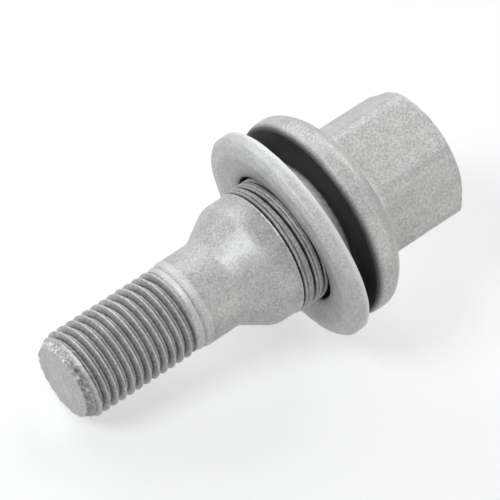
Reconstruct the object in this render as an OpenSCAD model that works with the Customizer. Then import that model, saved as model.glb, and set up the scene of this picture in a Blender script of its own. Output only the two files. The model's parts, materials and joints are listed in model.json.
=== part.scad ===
// Flanged hexagon wheel bolt with a loose captive washer, lying as it comes to rest.
// It lies on the tip of its thread and on the washer's rim. Lengths are in millimetres.
// Distances called "from the tip" run along the bolt's axis.

/* [Thread] */
// Nominal thread diameter, M14
thread_d = 14; // [12:0.5:14]
// Distance from the tip to the end of the full thread
thread_len = 19.3; // [14:0.1:20]
// Diameter of the flat tip
tip_d = 11.6; // [9:0.1:11.8]
// Angle of the tip's chamfer to the axis
tip_angle = 30; // [25:1:45]
// Diameter of the smooth run-out band behind the thread
band_d = 13.5; // [11:0.1:13.8]
// Length of the run-out band
band_len = 1.5; // [1:0.1:2]

/* [Shank] */
// Diameter of the plain neck
neck_d = 14.3; // [14.1:0.1:16]
// Length of the small step up from the band to the neck
neck_step = 1.4; // [0.5:0.1:2]
// Half angle of the cone between neck and barrel
cone_angle = 31; // [26:1:40]
// Distance from the tip to the corner of the cone and the barrel
barrel_at = 33.15; // [31:0.05:34]
// Diameter of the barrel that centres the wheel
barrel_d = 20.5; // [19:0.1:21]
// Rounding where the neck runs into the cone
neck_round = 3; // [0.5:0.5:4]
// Rounding where the cone runs into the barrel
barrel_round = 4; // [0.5:0.5:4.5]
// Distance from the tip to the face under the flange
shank_len = 45.9; // [45.5:0.1:50]

/* [Retaining ridges] */
// Number of rolled ridges
ridge_count = 3; // [1:1:3]
// Distance from the tip to the first groove
ridge_at = 37; // [36.5:0.1:37.5]
// Spacing of the ridges
ridge_pitch = 1.7; // [1.4:0.1:1.8]
// Diameter over the ridges
ridge_d = 20.9; // [20.7:0.1:21]
// Depth of the grooves between the ridges
groove_depth = 0.5; // [0.2:0.05:0.6]
// Width of a groove at its mouth
groove_w = 0.5; // [0.3:0.05:0.6]
// Depth of the shallow seam that rolling leaves along each ridge
seam_depth = 0.15; // [0.05:0.05:0.3]
// Distance of the seam behind its groove
seam_shift = 0.72; // [0.6:0.02:0.9]
// Diameter of the plain seat that the washer turns on
seat_d = 20.4; // [19.5:0.1:20.5]
// Fillet under the flange
flange_fillet = 1.6; // [0.5:0.1:1.7]

/* [Flange] */
// Largest diameter of the flange
flange_d = 33.4; // [32:0.1:35]
// Diameter of the flange's front edge
flange_front_d = 32.4; // [31:0.1:33]
// Length of the rim before its back slopes away
flange_rim = 3.6; // [3:0.1:4]
// Diameter of the shoulder where the steep back turns flatter
shoulder_d = 30.3; // [28:0.1:31]
// Height of the shoulder above the flange's front face
shoulder_h = 5.35; // [4.5:0.05:5.8]
// Height of the flange from its front face to the foot of the hexagon
flange_h = 6.85; // [6.2:0.05:8]
// Rounding of the rim into the sloping back
flange_round = 2.2; // [0.5:0.1:2.5]
// Rounding of the shoulder
shoulder_round = 2.5; // [0.5:0.1:3]

/* [Hexagon] */
// Width across the flats, for a 21 mm wrench
hex_af = 20.6; // [19:0.1:21]
// Roll of the hexagon about the axis
hex_roll = 31.6; // [0:0.2:60]
// Rounding of the forged corners
hex_round = 2.4; // [0.5:0.1:3]
// Height of the head from the flange's front face to its end
head_h = 22; // [18:0.1:24]
// Diameter of the flat end of the head
head_end_d = 20; // [17:0.1:20.4]
// Angle of the end's chamfer to the end face
head_angle = 30; // [15:1:40]

/* [Washer] */
// Outside diameter of the washer
washer_d = 35.5; // [34:0.1:37]
// Thickness of the washer
washer_t = 3; // [2:0.1:3]
// Radial clearance of the bore over the ridges
washer_clear = 0.4; // [0.4:0.05:0.6]
// Rounding of the front edge, from stamping
washer_round = 1.45; // [0.3:0.05:1.45]
// Depth of the shallow dish in the front face, at the bore
washer_dish = 0.7; // [0:0.1:1]
// Chamfer on both ends of the bore
bore_chamfer = 0.25; // [0.1:0.05:0.3]
// Distance from the washer's back face to the flange's front face, at their middles
washer_gap = 2.3; // [2.3:0.1:3]
// Height of the washer's middle above the bolt's axis, as it carries the bolt
washer_lift = 0.25; // [0:0.05:0.3]
// Backward lean of the washer from upright, as it carries the bolt
washer_lean = 21.15; // [20:0.05:21.5]

/* [Hidden] */
arc_steps = 8;
$fn = 96;
thread_r = thread_d / 2;
tip_r = tip_d / 2;
tip_chamfer = (thread_r - tip_r) / tan(tip_angle);
band_r = band_d / 2;
neck_r = neck_d / 2;
barrel_r = barrel_d / 2;
ridge_r = ridge_d / 2;
seat_r = seat_d / 2;
thread_runout = 0.3;
band_end = thread_len + thread_runout + band_len;
neck_from = band_end + neck_step;
cone_from = barrel_at - (barrel_r - neck_r) / tan(cone_angle);
ridge_end = ridge_at + (ridge_count - 1) * ridge_pitch + seam_shift + groove_w / 2;
ridge_shoulder = 0.4;
flange_r = flange_d / 2;
flange_front_r = flange_front_d / 2;
flange_taper = 1.3;
flange_edge_round = 0.5;
flange_top = shank_len + flange_h;
slope_from = shank_len + flange_rim;
head_end = shank_len + head_h;
head_end_r = head_end_d / 2;
hex_sink = 1;
hex_corner_r = hex_af / 2 / cos(30);
head_cut_r = hex_corner_r + 1;
head_end_round = 0.5;
washer_r = washer_d / 2;
bore_r = ridge_r + washer_clear;
dish_r = washer_r - 2.2 * washer_round;
washer_at = shank_len - washer_gap;
// Height of the washer's middle above the floor when its rounded front edge stands on it
washer_h = (washer_t - washer_round) * sin(washer_lean)
  + (washer_r - washer_round) * cos(washer_lean) + washer_round;
// Slope of the axis at which the thread's first edge and the washer both touch the floor
washer_run = washer_at - tip_chamfer;
washer_rise = thread_r + washer_lift;
incline = asin(washer_h / norm([washer_run, washer_rise])) - atan2(washer_rise, washer_run);
tip_h = thread_r * cos(incline) - tip_chamfer * sin(incline);
// The row's origin is under the middle of the bounding box
low_x = -tip_r * sin(incline);
high_x = (head_end - head_end_round) * cos(incline)
  + (head_end_r - head_end_round * tan(head_angle / 2)) * sin(incline) + head_end_round;
origin_x = (low_x + high_x) / 2;
// Turn of each turned surface about its own axis: its seam is on top, and a flat facet of its mesh is below
bolt_seam = 182.8125;
washer_seam = 180;
zinc = [0.66, 0.67, 0.67];
zinc_light = [0.72, 0.72, 0.72];

// Points of an arc that rounds corner b of the path a, b, c, with radius r limited by its sides
function unit(v) = v / norm(v);
function rounded(a, b, c, r) =
  let (
    to_a = unit(a - b),
    to_c = unit(c - b),
    half = acos(max(-1, min(1, to_a * to_c))) / 2,
    run = min(r / tan(half), 0.49 * min(norm(a - b), norm(c - b))),
    fit_r = run * tan(half),
    middle = b + unit(to_a + to_c) * fit_r / sin(half),
    from = b + to_a * run - middle,
    to = b + to_c * run - middle,
    turn = 180 - 2 * half
  )
  [for (k = [0:arc_steps])
    middle + (from * sin(turn * (1 - k / arc_steps)) + to * sin(turn * k / arc_steps)) / sin(turn)];

// A path from corners [x, y, rounding], with the end corners kept sharp
function path(corners) =
  let (last = len(corners) - 1)
  [for (k = [0:last])
    let (b = [corners[k][0], corners[k][1]])
    each (k == 0 || k == last || corners[k][2] == 0
      ? [b]
      : rounded([corners[k - 1][0], corners[k - 1][1]], b,
                [corners[k + 1][0], corners[k + 1][1]], corners[k][2]))];

// One V groove in a ridge, as corners of the turned profile
function groove(at, depth, width) = [
  [ridge_r, at - width / 2, 0],
  [ridge_r - depth, at, 0],
  [ridge_r, at + width / 2, 0]
];

function ridge_corners() = [
  for (k = [0:ridge_count - 1])
    let (at = ridge_at + k * ridge_pitch)
    each concat(groove(at, groove_depth, groove_w),
                groove(at + seam_shift, seam_depth, groove_w / 2))
];

// Corners of the turned profile from the tip to the flange's back: [radius, distance, rounding]
shank_corners = [
  [0, 0, 0],
  [tip_r, 0, 0],
  [thread_r, tip_chamfer, 0],
  [thread_r, thread_len, 0],
  [band_r, thread_len + thread_runout, 0],
  [band_r, band_end, 0.3],
  [neck_r, neck_from, 0.8],
  [neck_r, cone_from, neck_round],
  [barrel_r, barrel_at, barrel_round],
  [barrel_r, ridge_at - groove_w, 0]
];
flange_corners = [
  [ridge_r, ridge_end, 0],
  [seat_r, ridge_end + ridge_shoulder, 0],
  [seat_r, shank_len, flange_fillet],
  [flange_front_r, shank_len, flange_edge_round],
  [flange_r, shank_len + flange_taper, 1],
  [flange_r, slope_from, flange_round],
  [shoulder_d / 2, shank_len + shoulder_h, shoulder_round],
  [hex_af / 2, flange_top, 0],
  [0, flange_top, 0]
];

// Corners of the hexagon, with their forged rounding
module hexagon() {
  corner = [for (k = [0:5]) hex_corner_r * [cos(60 * k), sin(60 * k)]];
  polygon([for (k = [0:5]) each rounded(corner[(k + 5) % 6], corner[k], corner[(k + 1) % 6], hex_round)]);
}

// Outline that chamfers the end of the head
module head_outline() {
  cut_h = (head_cut_r - head_end_r) * tan(head_angle);
  rotate_extrude()
    polygon(path([
      [0, flange_top - hex_sink, 0],
      [head_cut_r, flange_top - hex_sink, 0],
      [head_cut_r, head_end - cut_h, 0],
      [head_end_r, head_end, head_end_round],
      [0, head_end, 0]
    ]));
}

module hexagon_head() {
  intersection() {
    translate([0, 0, flange_top - hex_sink])
      linear_extrude(head_end - flange_top + hex_sink)
        rotate(hex_roll) hexagon();
    head_outline();
  }
}

// Lays a piece made along +Z from the tip down on the floor, with the head towards +X
module laid() {
  translate([-origin_x, 0, tip_h]) rotate([0, 90 - incline, 0]) children();
}

module bolt() {
  color(zinc) laid() {
    rotate(bolt_seam) rotate_extrude()
      polygon(path(concat(shank_corners, ridge_corners(), flange_corners)));
    hexagon_head();
  }
}

module washer() {
  washer_x = washer_at * cos(incline) - washer_lift * sin(incline) - origin_x;
  color(zinc_light)
    translate([washer_x, 0, washer_h])
      rotate([0, 90 - washer_lean, 0])
        rotate(washer_seam) rotate_extrude()
          polygon(path([
            [bore_r, -bore_chamfer, 0],
            [bore_r, bore_chamfer + washer_dish - washer_t, 0],
            [bore_r + bore_chamfer, washer_dish - washer_t, 0],
            [dish_r, -washer_t, 0],
            [washer_r, -washer_t, washer_round],
            [washer_r, 0, 0],
            [bore_r + bore_chamfer, 0, 0]
          ]));
}

bolt();
washer();
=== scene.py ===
# Wheel bolt with a loose captive washer, zinc coated, lying on a pale floor
import json
import math

import bmesh
import bpy
import numpy as np
from mathutils import Matrix, Vector, noise


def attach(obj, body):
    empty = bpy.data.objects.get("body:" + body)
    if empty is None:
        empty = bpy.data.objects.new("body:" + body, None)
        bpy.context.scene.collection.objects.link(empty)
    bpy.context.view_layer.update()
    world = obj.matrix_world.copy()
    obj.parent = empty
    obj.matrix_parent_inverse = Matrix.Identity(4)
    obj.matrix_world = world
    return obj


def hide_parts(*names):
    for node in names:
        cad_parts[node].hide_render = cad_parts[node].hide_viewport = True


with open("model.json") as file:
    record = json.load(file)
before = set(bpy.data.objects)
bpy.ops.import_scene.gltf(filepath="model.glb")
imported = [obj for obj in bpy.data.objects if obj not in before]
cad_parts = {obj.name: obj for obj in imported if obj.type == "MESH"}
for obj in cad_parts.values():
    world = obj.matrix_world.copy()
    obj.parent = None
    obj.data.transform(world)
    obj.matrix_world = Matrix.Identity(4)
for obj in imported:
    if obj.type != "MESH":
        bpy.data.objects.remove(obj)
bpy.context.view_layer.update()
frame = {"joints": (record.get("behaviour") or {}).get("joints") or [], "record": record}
MM = 0.001
SEGMENTS = 216
SHARP = math.radians(38)

# Thread
THREAD_R = 7.0
THREAD_LEN = 19.3
PITCH = 1.5
THREAD_DEPTH = 0.9
THREAD_FROM = 0.5
THREAD_END = 19.9
THREAD_START = 1.3
THREAD_FADE = 0.9
THREAD_RUNOUT = 0.4
GROOVE_AT = 4.99
GROOVE_TURN = math.radians(109.6)
TIP_R = 5.8
TIP_SLOPE = math.tan(math.radians(30))
BAND_R = 6.76
TIP_EDGE = 0.5
CHIPS_END = 2.8
CHIPS_FADE = 0.6

# Shank
NECK_R = 7.15
BARREL_R = 10.25
CONE_END = 33.15
CONE_SLOPE = math.tan(math.radians(31))
RIDGE_R = 10.45
SEAT_R = 10.2
SHANK_END = 45.9

# Flange and hexagon
FLANGE_R = 16.7
FLANGE_FRONT_R = 16.2
SHOULDER_R = 15.15
FLANGE_TOP = 52.45
HEX_FLAT = 10.3
HEX_ROUND = 2.4
HEX_ROLL = math.radians(31.6)
HEX_FOOT = 0.7
END_R = 10.0
END_ROUND = 0.3
HEAD_END = 67.9

# Washer
WASHER_R = 17.75
WASHER_T = 3.0
BORE_R = 10.85


# Places
def mount(name):
    """The record's mount of that name."""
    return next(m for m in frame["record"]["mounts"] if m["name"] == name)


def placed(origin, axis):
    """Matrix that puts a piece made along +Z, in millimetres, at origin along axis, with its -X side up."""
    z = Vector(axis).normalized()
    y = z.cross(Vector((-z.x * z.z, -z.y * z.z, 1 - z.z * z.z))).normalized() * -1
    x = y.cross(z)
    turn = Matrix((x, y, z)).transposed().to_4x4()
    return Matrix.Translation(origin) @ turn @ Matrix.Scale(MM, 4)


thread = mount("thread")
thread_mid = ((THREAD_R - TIP_R) / TIP_SLOPE + THREAD_LEN) / 2
head_axis = -Vector(thread["axis"])
tip = Vector(thread["pos_m"]) - head_axis * thread_mid * MM
BOLT = placed(tip, head_axis)
spin = next(j for j in frame["joints"] if j["name"] == "washer_spin")
spin_axis = Vector(spin["axis"]).normalized()
WASHER = placed(Vector(spin["pos_m"]) + spin_axis * WASHER_T / 2 * MM, spin_axis)


# Shapes
def arc(a, b, c, radius, steps=6):
    """Points that round corner b of the path a, b, c."""
    a, b, c = (np.array(p, float) for p in (a, b, c))
    u = (a - b) / np.linalg.norm(a - b)
    v = (c - b) / np.linalg.norm(c - b)
    half = math.acos(max(-1, min(1, float(u @ v)))) / 2
    run = min(radius / math.tan(half), 0.49 * min(np.linalg.norm(a - b), np.linalg.norm(c - b)))
    fit = run * math.tan(half)
    middle = b + (u + v) / np.linalg.norm(u + v) * fit / math.sin(half)
    start = b + u * run - middle
    end = b + v * run - middle
    turn = math.pi - 2 * half
    points = []
    for k in range(steps + 1):
        share = k / steps
        swung = start * math.sin(turn * (1 - share)) + end * math.sin(turn * share)
        points.append(middle + swung / math.sin(turn))
    return points


def path(corners, longest=1.2):
    """Points (radius, distance) along corners (radius, distance, rounding), at most longest apart."""
    points = []
    last = len(corners) - 1
    for k, (r, z, rounding) in enumerate(corners):
        if k in (0, last) or not rounding:
            points.append(np.array((r, z), float))
        else:
            points += arc(corners[k - 1][:2], (r, z), corners[k + 1][:2], rounding)
    out = [points[0]]
    for p in points[1:]:
        gap = np.linalg.norm(p - out[-1])
        pieces = max(1, math.ceil(gap / longest))
        start = out[-1]
        out += [start + (p - start) * j / pieces for j in range(1, pieces + 1)]
    return out


ANGLES = np.arange(SEGMENTS) * 2 * math.pi / SEGMENTS


def ring(r, z):
    """One ring of (radius, distance) pairs, each a number or an array over the angles."""
    return np.stack([np.broadcast_to(r, SEGMENTS), np.broadcast_to(z, SEGMENTS)], axis=1)


def skin(name, rings, place, rough, painted_light_and_specks):
    """Closed skin through the rings, from the middle of the first to the middle of the last."""
    rows = np.array(rings)
    count = len(rows)
    x = rows[:, :, 0] * np.cos(ANGLES)
    y = rows[:, :, 0] * np.sin(ANGLES)
    points = np.stack([x, y, rows[:, :, 1]], axis=2).reshape(-1, 3)
    low = (0, 0, float(rows[0, :, 1].mean()))
    high = (0, 0, float(rows[-1, :, 1].mean()))
    verts = [*map(tuple, points), low, high]
    faces = []
    for k in range(count - 1):
        for j in range(SEGMENTS):
            n = (j + 1) % SEGMENTS
            low_row = k * SEGMENTS
            high_row = (k + 1) * SEGMENTS
            faces.append((low_row + j, low_row + n, high_row + n, high_row + j))
    base = (count - 1) * SEGMENTS
    for j in range(SEGMENTS):
        n = (j + 1) % SEGMENTS
        faces.append((count * SEGMENTS, n, j))
        faces.append((count * SEGMENTS + 1, base + j, base + n))
    return finished(name, verts, faces, place, rough, painted_light_and_specks)


MERGE = 0.002
DEGENERATE = 0.001


def finished(name, verts, faces, place, rough, painted_light_and_specks):
    """Mesh object, with double points merged, its painted shade and highlight stored and its sharp edges
    marked.
    """
    mesh = bpy.data.meshes.new(name)
    mesh.from_pydata(verts, [], faces)
    bm = bmesh.new()
    bm.from_mesh(mesh)
    bmesh.ops.remove_doubles(bm, verts=bm.verts, dist=MERGE)
    bmesh.ops.dissolve_degenerate(bm, edges=bm.edges, dist=DEGENERATE)
    bmesh.ops.recalc_face_normals(bm, faces=bm.faces)
    layer = bm.verts.layers.float.new("painted_light_and_specks")
    for v in bm.verts:
        v[layer] = painted_light_and_specks(v.co)
    bm.normal_update()
    moves = [(v, v.normal * rough(v.co)) for v in bm.verts]
    for v, move in moves:
        v.co += move
    bm.normal_update()
    for e in bm.edges:
        e.smooth = not (e.is_manifold and e.calc_face_angle(0) > SHARP)
    for f in bm.faces:
        f.smooth = True
    bmesh.ops.transform(bm, matrix=place, verts=bm.verts)
    bm.to_mesh(mesh)
    bm.free()
    obj = bpy.data.objects.new(name, mesh)
    bpy.context.collection.objects.link(obj)
    return obj


# Bolt: thread
# Places within one turn are parts of the pitch from the crest
CREST = 0.08
CREST_FALL = 0.03
ROOT = 0.39
TURNS = (-0.44, -ROOT, -0.34, -0.26, -0.17, -CREST, 0.0, CREST, 0.17, 0.26, 0.34, ROOT, 0.44, 0.5)
TURN_FROM = -6
TURN_TO = 12


def thread_depth(part):
    """Depth below the crest at a distance from it, as a part of the pitch."""
    away = abs(part)
    if away <= CREST:
        return CREST_FALL * (away / CREST) ** 2
    if away < ROOT:
        flank = (away - CREST) / (ROOT - CREST)
        return CREST_FALL + (THREAD_DEPTH - CREST_FALL) * flank
    return THREAD_DEPTH


def thread_rings():
    """Rings whose distance grows with the angle, so that the groove is a helix."""
    drift = PITCH * (ANGLES - GROOVE_TURN) / (2 * math.pi)
    rings = []
    for k in range(TURN_FROM, TURN_TO):
        for part in TURNS:
            z = GROOVE_AT + PITCH / 2 + drift + (k + part) * PITCH
            depth = thread_depth(part) * np.clip((THREAD_END - z) / THREAD_FADE, 0.0, 1.0)
            depth = depth * np.clip((z - THREAD_FROM) / THREAD_START, 0.0, 1.0)
            z = np.clip(z, 0.0, THREAD_END)
            runout = BAND_R + (THREAD_R - BAND_R) * (THREAD_END - z) / THREAD_RUNOUT
            bare = np.where(z > THREAD_END - THREAD_RUNOUT, runout, THREAD_R)
            r = np.minimum(bare - depth, TIP_R + z * TIP_SLOPE)
            rings.append(ring(r, z))
    return rings


# Bolt: retaining ridges
RIDGE_FROM = 36.4
RIDGE_TO = 41.6
RIDGE_STEPS = 84
RISE_AT = 36.6
RISE_LEN = 0.25
FALL_AT = 41.15
FALL_DRIFT = 0.2
FALL_LEN = 0.35
CREASE_POWER = 1.2
CREASES = (
    # Distance, drift over half a turn, depth, width
    (37.0, 0.0, 0.5, 0.5),
    (37.68, 0.05, 0.25, 0.36),
    (38.62, 0.4, 0.5, 0.62),
    (39.35, 0.4, 0.2, 0.34),
    (40.35, 0.35, 0.5, 0.5),
    (40.95, 0.35, 0.18, 0.34),
)


def ridge_rings():
    """Rings of the ridges, with their creases, and of the fall to the seat."""
    side = (1 - np.cos(ANGLES - GROOVE_TURN)) / 2
    rings = []
    for k in range(RIDGE_STEPS + 1):
        z = RIDGE_FROM + (RIDGE_TO - RIDGE_FROM) * k / RIDGE_STEPS
        up = min(1, max(0, (z - RISE_AT) / RISE_LEN))
        r = np.full(SEGMENTS, BARREL_R + (RIDGE_R - BARREL_R) * up)
        for at, drift, depth, width in CREASES:
            away = np.abs(z - at - drift * side) / (width / 2)
            r = r - depth * np.clip(1 - away, 0, 1) ** CREASE_POWER
        end = np.clip((z - FALL_AT - FALL_DRIFT * side) / FALL_LEN, 0, 1)
        r = r + (SEAT_R - r) * end
        rings.append(ring(r, z))
    return rings


# Bolt: head
def hexagon_radius():
    """Distance of the hexagon's rounded side from its axis, at every angle."""
    middle = (HEX_FLAT - HEX_ROUND) / math.cos(math.pi / 6)
    tangent = math.atan2(HEX_ROUND / 2, middle + HEX_ROUND * math.cos(math.pi / 6))
    out = []
    for a in ANGLES:
        away = abs((a - HEX_ROLL + math.pi / 6) % (math.pi / 3) - math.pi / 6)
        if away < tangent:
            out.append(middle * math.cos(away) + math.sqrt(HEX_ROUND**2 - (middle * math.sin(away)) ** 2))
        else:
            out.append(HEX_FLAT / math.cos(math.pi / 6 - away))
    return np.array(out)


FOOT_STEPS = 6


def head_rings():
    """Rings from the hexagon's foot to the middle of its end."""
    side = hexagon_radius()
    rings = []
    # Foot of the hexagon, a small fillet on the flange
    for k in range(FOOT_STEPS + 1):
        turn = math.pi / 2 * k / FOOT_STEPS
        r = side + HEX_FOOT * (1 - math.sin(turn))
        z = FLANGE_TOP + HEX_FOOT * (1 - math.cos(turn))
        rings.append(ring(r, z))
    for z in np.linspace(FLANGE_TOP + 1.6, HEAD_END - 4, 9):
        rings.append(ring(side, z))
    # Rounded end, cut by a chamfer
    for z in np.linspace(HEAD_END - 3.4, HEAD_END - END_ROUND, 12):
        rings.append(ring(np.minimum(side, end_radius(z)), z))
    for share in (0.985, 0.96, 0.9, 0.7, 0.4, 0.15):
        r = end_radius(HEAD_END - END_ROUND) * share
        drop = END_ROUND * max(0, 1 - (1 - share) / 0.05) ** 2
        rings.append(ring(r, HEAD_END - drop))
    return rings


def end_radius(z):
    """Radius of the slightly crowned chamfer on the end of the head."""
    down = HEAD_END - z
    return END_R + 1.75 * down - 0.12 * down * down


# Corners of the turned profile: radius, distance from the tip, rounding
front = [
    (BAND_R, THREAD_END, 0),
    (BAND_R, 20.15, 0.1),
    (BAND_R + 0.24, 20.8, 0.1),
    (BAND_R + 0.1, 21.0, 0.05),
    (NECK_R + 0.06, 22.25, 0.15),
    (NECK_R, 22.6, 0.3),
    (NECK_R, CONE_END - (BARREL_R - NECK_R) / CONE_SLOPE, 3),
    (BARREL_R, CONE_END, 4),
    (BARREL_R, RIDGE_FROM, 0),
]
back = [
    (SEAT_R, RIDGE_TO, 0),
    (SEAT_R, SHANK_END, 1.6),
    (FLANGE_FRONT_R, SHANK_END, 0.5),
    (FLANGE_R, SHANK_END + 1.3, 1.2),
    (FLANGE_R, SHANK_END + 3.6, 2.2),
    (SHOULDER_R, SHANK_END + 5.35, 2.5),
    (12.0, FLANGE_TOP - 0.15, 0),
]


def bolt_rings():
    """All rings of the bolt, from the middle of its tip to the end of its head."""
    rings = [ring(share * TIP_R, 0.0) for share in (0.15, 0.4, 0.65, 0.82, 0.93)]
    rings += thread_rings()
    rings += [ring(r, z) for r, z in path(front)]
    rings += ridge_rings()
    rings += [ring(r, z) for r, z in path(back)]
    return rings + head_rings()


def cast(seed, scale, amount):
    """Function for the small unevenness of a surface: seed of the pattern, its fineness, its height in mm."""
    offset = Vector((seed, seed * 1.7, seed * 0.3))

    def at(co):
        return amount * noise.noise(Vector(co) * scale + offset)

    return at


fine = cast(3.1, 2.3, 0.04)
broad = cast(7.7, 0.35, 0.03)
wavy = cast(5.5, 0.4, 0.03)
chips = cast(11.3, 1.4, 0.17)
specks = cast(5.9, 2.4, 1.0)
BOLT_INSET = 0.03
WASHER_INSET = 0.02


def bolt_rough(co):
    """How far a point of the bolt moves outwards, on average inwards, to stay off the floor."""
    z = co.z
    total = broad(co) - BOLT_INSET
    if z < THREAD_END or RIDGE_FROM < z < RIDGE_TO:
        total += fine(co)
    if z < CHIPS_END and co.xy.length > TIP_R - TIP_EDGE:
        total += chips(co) * min(1, (CHIPS_END - z) / CHIPS_FADE)
    return total


# Painted shade and light against the distance from the middle of the thread's groove, as a part of the pitch:
# painted shade at the groove's edges, painted light at its middle, lighter crests
ROOT_PAINTED_LIGHT = (
    (0.0, 0.05, 0.08, 0.13, 0.2, 0.3, 0.38, 0.43),
    (-0.1, 0.2, 0.75, 0.65, 0.28, 0.16, 0.1, -0.15),
)
# Painted highlights and painted shade against the distance from the tip, from the thread's end to the neck
BAND_PAINTED_LIGHT = (
    (19.9, 20.0, 20.2, 20.8, 21.0, 21.2, 22.2, 22.5, 23.2),
    (0.0, 0.1, -0.3, -0.3, 0.25, -0.25, -0.2, 0.12, 0.0),
)
# Painted shadow at the junction with the flange and painted highlight on the fillet, against the height above
# the foot of the hexagon
FOOT_PAINTED_LIGHT = ((-0.2, -0.1, 0.02, 0.1, 0.7, 1.0), (0.2, 0.7, 0.7, -0.35, -0.35, 0.0))
# Distance from the tip beyond which the seat shows in the gap behind the washer
WASHER_BACK = 43.4
# Side of the tip where the chamfer gets a painted highlight, towards the key lamp
PAINTED_HIGHLIGHT_TURN = GROOVE_TURN + math.radians(20)


def bolt_painted_light(co):
    """Painted light on the coating: up to 1 for painted shade where it is dark in recesses, down to -1 for
    painted highlights, with random specks in places.
    """
    z = co.z
    r = co.xy.length
    if z < THREAD_END:
        if z < 0.05:
            return 0.0
        speck = specks(co)
        # Painted highlight on the chamfer's side towards the key lamp; elsewhere the chamfer is darker, with
        # random spots
        if z < 1.0:
            lit = math.cos(math.atan2(co.y, co.x) - PAINTED_HIGHLIGHT_TURN) > 0.9 - 0.5 * speck
            return -0.6 if lit else 0.4 + 0.5 * speck
        # Darker near the tip, then the thread's painted shade and light, with random specks
        start = min(1.0, max(0.0, (z - THREAD_FROM) / THREAD_START))
        turn = (z - GROOVE_AT) / PITCH - (math.atan2(co.y, co.x) - GROOVE_TURN) / (2 * math.pi)
        away = abs(turn - round(turn))
        return (1 - start) * 0.25 + start * float(np.interp(away, *ROOT_PAINTED_LIGHT)) + 0.2 * speck
    # Painted shade in the ridges' creases, darker the deeper the crease
    if RIDGE_FROM + 0.5 < z < RIDGE_TO - 0.3:
        return min(1.0, max(0.0, RIDGE_R - r - 0.03) * 3.0)
    if z < RIDGE_FROM + 0.5:
        return float(np.interp(z, *BAND_PAINTED_LIGHT))
    if z > FLANGE_TOP - 0.2:
        return float(np.interp(z - FLANGE_TOP, *FOOT_PAINTED_LIGHT))
    if z > SHANK_END + 0.45:
        return 0.0
    # Painted shade on the seat where the washer covers it
    if z < WASHER_BACK:
        return 1.0
    # Painted shade on the flange's front face in the gap; painted light, with random specks, on the seat in
    # the gap and on the flange's rim
    return 0.9 if SEAT_R + 0.6 < r < FLANGE_R - 0.35 else -0.9 + specks(co)


bolt = skin("zinc_bolt", bolt_rings(), BOLT, bolt_rough, bolt_painted_light)

# The same for the washer, from its back face at 0
washer_profile = [
    (BORE_R, -0.25, 0),
    (BORE_R, -2.05, 0.2),
    (BORE_R + 0.25, -2.3, 0.2),
    (15.4, -WASHER_T, 0.3),
    (17.05, -2.83, 0.8),
    (WASHER_R, -2.05, 0.6),
    (WASHER_R, -0.3, 0.05),
    (WASHER_R - 0.25, 0, 0.05),
    (BORE_R + 0.25, 0, 0),
    (BORE_R, -0.25, 0),
]


def tube(name, profile, place, rough, painted_light_and_specks):
    """Closed skin turned from a closed profile."""
    points = path(profile, 0.9)[:-1]
    count = len(points)
    verts = [(r * math.cos(a), r * math.sin(a), z) for r, z in points for a in ANGLES]
    faces = [
        (
            k * SEGMENTS + j,
            k * SEGMENTS + (j + 1) % SEGMENTS,
            (k + 1) % count * SEGMENTS + (j + 1) % SEGMENTS,
            (k + 1) % count * SEGMENTS + j,
        )
        for k in range(count)
        for j in range(SEGMENTS)
    ]
    return finished(name, verts, faces, place, rough, painted_light_and_specks)


def washer_rough(co):
    """How far a point of the washer moves outwards."""
    return wavy(co) - WASHER_INSET


# Painted shade and grime at the bore and a painted sheen on the rim of the washer's front, against the radius
FACE_PAINTED_LIGHT = ((10.9, 11.1, 11.3, 12.4, 14.9, 15.5, 16.5), (1.0, 0.6, 0.3, 0.12, 0.05, -0.12, -0.1))


def washer_painted_light(co):
    """Painted light and shade on the washer's coating, as on the bolt."""
    r = co.xy.length
    # Painted highlight along the back edge
    if co.z > -0.32 and r > WASHER_R - 0.3:
        return -0.7
    # Painted shade on the back face, which faces the flange
    if co.z > -0.02:
        return 0.6
    return float(np.interp(r, *FACE_PAINTED_LIGHT))


washer = tube("zinc_washer", washer_profile, WASHER, washer_rough, washer_painted_light)


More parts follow.
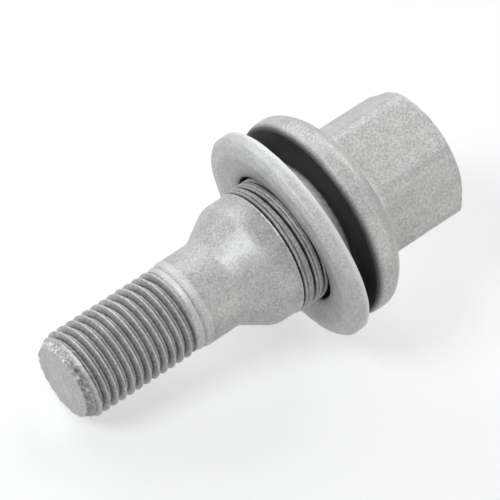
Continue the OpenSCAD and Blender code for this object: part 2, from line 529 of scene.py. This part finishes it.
# Materials
def zinc(name, dark, light, rough, grain):
    """Dull zinc coating with a mottled grain, darkened by painted shade and lightened by painted highlights.
    Its coordinates are metres, so a scale of 1000 is 1 mm.
    """
    mat = bpy.data.materials.new(name)
    mat.use_nodes = True
    nodes = mat.node_tree.nodes
    links = mat.node_tree.links
    shader = nodes["Principled BSDF"]
    where = nodes.new("ShaderNodeTexCoord")

    def spots(scale, detail, roughness=0.6):
        n = nodes.new("ShaderNodeTexNoise")
        n.inputs["Scale"].default_value = scale
        n.inputs["Detail"].default_value = detail
        n.inputs["Roughness"].default_value = roughness
        links.new(where.outputs["Object"], n.inputs["Vector"])
        return n.outputs["Fac"]

    def mixed(a, b, share):
        n = nodes.new("ShaderNodeMix")
        n.inputs["Factor"].default_value = share
        links.new(a, n.inputs["A"])
        links.new(b, n.inputs["B"])
        return n.outputs["Result"]

    def coloured(blend, share, a, b):
        n = nodes.new("ShaderNodeMix")
        n.data_type = "RGBA"
        n.blend_type = blend
        socket = {i.identifier: i for i in n.inputs}
        links.new(share, socket["Factor_Float"])
        links.new(a, socket["A_Color"])
        socket["B_Color"].default_value = b
        return next(o for o in n.outputs if o.identifier == "Result_Color")

    grainy = spots(2900, 3, 0.75)
    cloudy = spots(420, 3)
    wide = spots(110, 2)
    tone = mixed(mixed(grainy, cloudy, 0.2), wide, 0.1)
    ramp = nodes.new("ShaderNodeValToRGB")
    ramp.color_ramp.elements[0].position = 0.36
    ramp.color_ramp.elements[0].color = (*dark, 1)
    ramp.color_ramp.elements[1].position = 0.64
    ramp.color_ramp.elements[1].color = (*light, 1)
    links.new(tone, ramp.inputs["Fac"])
    # Each point's stored painted shade darkens the colour, and its painted highlight lightens it towards near
    # white
    painted_light_and_specks = nodes.new("ShaderNodeAttribute")
    painted_light_and_specks.attribute_name = "painted_light_and_specks"
    painted_dark = coloured("MULTIPLY", painted_light_and_specks.outputs["Fac"], ramp.outputs["Color"], (0.04, 0.04, 0.038, 1))
    painted_bright = nodes.new("ShaderNodeMath")
    painted_bright.operation = "MULTIPLY"
    painted_bright.inputs[1].default_value = -1.0
    links.new(painted_light_and_specks.outputs["Fac"], painted_bright.inputs[0])
    colour = coloured("MIX", painted_bright.outputs[0], painted_dark, (0.95, 0.96, 0.97, 1))
    links.new(colour, shader.inputs["Base Color"])
    gloss = nodes.new("ShaderNodeMapRange")
    gloss.inputs["From Min"].default_value = 0.35
    gloss.inputs["From Max"].default_value = 0.65
    gloss.inputs["To Min"].default_value = rough - 0.06
    gloss.inputs["To Max"].default_value = rough + 0.08
    links.new(mixed(cloudy, grainy, 0.75), gloss.inputs["Value"])
    links.new(gloss.outputs["Result"], shader.inputs["Roughness"])
    bump = nodes.new("ShaderNodeBump")
    bump.inputs["Strength"].default_value = grain
    bump.inputs["Distance"].default_value = 0.00006
    links.new(mixed(grainy, cloudy, 0.2), bump.inputs["Height"])
    links.new(bump.outputs["Normal"], shader.inputs["Normal"])
    shader.inputs["Metallic"].default_value = 0.48
    return mat


bolt.data.materials.append(zinc("zinc_cast", (0.36, 0.36, 0.355), (0.74, 0.74, 0.73), 0.46, 0.8))
washer.data.materials.append(zinc("zinc_pressed", (0.40, 0.40, 0.395), (0.76, 0.76, 0.75), 0.56, 0.7))
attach(bolt, "bolt")
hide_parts("bolt")
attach(washer, "washer")
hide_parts("washer")


# Floor
FLOOR_HALF = 1.5
FLOOR_GLOW = 0.53


def shown(nodes, links):
    """1 for the rays that show the background: the camera's, reflections and glass."""
    rays = nodes.new("ShaderNodeLightPath")
    total = rays.outputs["Is Camera Ray"]
    for kind in ("Is Glossy Ray", "Is Transmission Ray"):
        either = nodes.new("ShaderNodeMath")
        either.operation = "MAXIMUM"
        links.new(total, either.inputs[0])
        links.new(rays.outputs[kind], either.inputs[1])
        total = either.outputs[0]
    return total


def floor_material():
    """White floor that keeps the object's shadow and shows white in the metal."""
    mat = bpy.data.materials.new("floor")
    mat.use_nodes = True
    nodes = mat.node_tree.nodes
    links = mat.node_tree.links
    nodes.clear()
    out = nodes.new("ShaderNodeOutputMaterial")
    add = nodes.new("ShaderNodeAddShader")
    diffuse = nodes.new("ShaderNodeBsdfDiffuse")
    diffuse.inputs["Color"].default_value = (0.85, 0.85, 0.85, 1)
    glow = nodes.new("ShaderNodeEmission")
    seen = nodes.new("ShaderNodeMath")
    seen.operation = "MULTIPLY"
    seen.inputs[1].default_value = FLOOR_GLOW
    links.new(shown(nodes, links), seen.inputs[0])
    links.new(seen.outputs[0], glow.inputs["Strength"])
    links.new(diffuse.outputs[0], add.inputs[0])
    links.new(glow.outputs[0], add.inputs[1])
    links.new(add.outputs[0], out.inputs["Surface"])
    return mat


mesh = bpy.data.meshes.new("floor")
corners = [(x * FLOOR_HALF, y * FLOOR_HALF, 0) for x, y in ((-1, -1), (1, -1), (1, 1), (-1, 1))]
mesh.from_pydata(corners, [], [(0, 1, 2, 3)])
floor = bpy.data.objects.new("floor", mesh)
bpy.context.collection.objects.link(floor)
floor.data.materials.append(floor_material())


# Camera, at the photograph's angle
LENS = 216
data = bpy.data.cameras.new("camera")
data.sensor_width = 36
data.lens = LENS
data.clip_start = 0.01
data.clip_end = 10
camera = bpy.data.objects.new("camera", data)
bpy.context.collection.objects.link(camera)
# Directions to the right of and above the picture, so that the bolt lies in it as in the photograph
right = Vector((0.725200, -0.618849, 0.301847))
above = Vector((0.372211, 0.721163, 0.584281))
behind = right.cross(above)
camera.matrix_world = Matrix.Translation((-0.257322, -0.137723, 0.351622)) @ Matrix(
    (right, above, behind)
).transposed().to_4x4()
bpy.context.scene.camera = camera


# Lights, placed as the camera sees them
LIT = Vector((0, 0, 0.015))


def softbox(name, way, distance, size, power, colour):
    """Round lamp that faces the object, in a direction given as right, above and behind in the picture."""
    light = bpy.data.lights.new(name, "AREA")
    light.shape = "DISK"
    light.size = size
    light.energy = power
    light.color = colour
    lamp = bpy.data.objects.new(name, light)
    bpy.context.collection.objects.link(lamp)
    way = (right * way[0] + above * way[1] + behind * way[2]).normalized()
    lamp.location = LIT + way * distance
    lamp.rotation_euler = way.to_track_quat("Z", "Y").to_euler()


COOL = (0.96, 0.98, 1.0)
WARM = (1.0, 1.0, 0.975)
softbox("key", (-0.42, 0.25, 0.87), 0.6, 0.2, 1.15, COOL)
softbox("top_right", (0.44, 0.9, -0.05), 0.8, 0.7, 1.85, WARM)
softbox("top_left", (-0.42, 0.88, 0.02), 0.8, 0.7, 1.7, COOL)
softbox("side", (0.94, -0.31, 0.14), 0.8, 0.35, 0.6, WARM)
softbox("front", (0.72, 0.15, 0.66), 0.8, 0.5, 0.2, COOL)

# Plain light from all sides for rough surfaces, white where the background shows
AMBIENT = 0.07
world = bpy.data.worlds.new("studio")
bpy.context.scene.world = world
world.use_nodes = True
nodes = world.node_tree.nodes
links = world.node_tree.links
sky = nodes["Background"]
sky.inputs["Color"].default_value = (1, 1, 1, 1)
level = nodes.new("ShaderNodeMapRange")
level.inputs["To Min"].default_value = AMBIENT
level.inputs["To Max"].default_value = 1.0
links.new(shown(nodes, links), level.inputs["Value"])
links.new(level.outputs["Result"], sky.inputs["Strength"])
bpy.context.scene.view_settings.view_transform = "Standard"
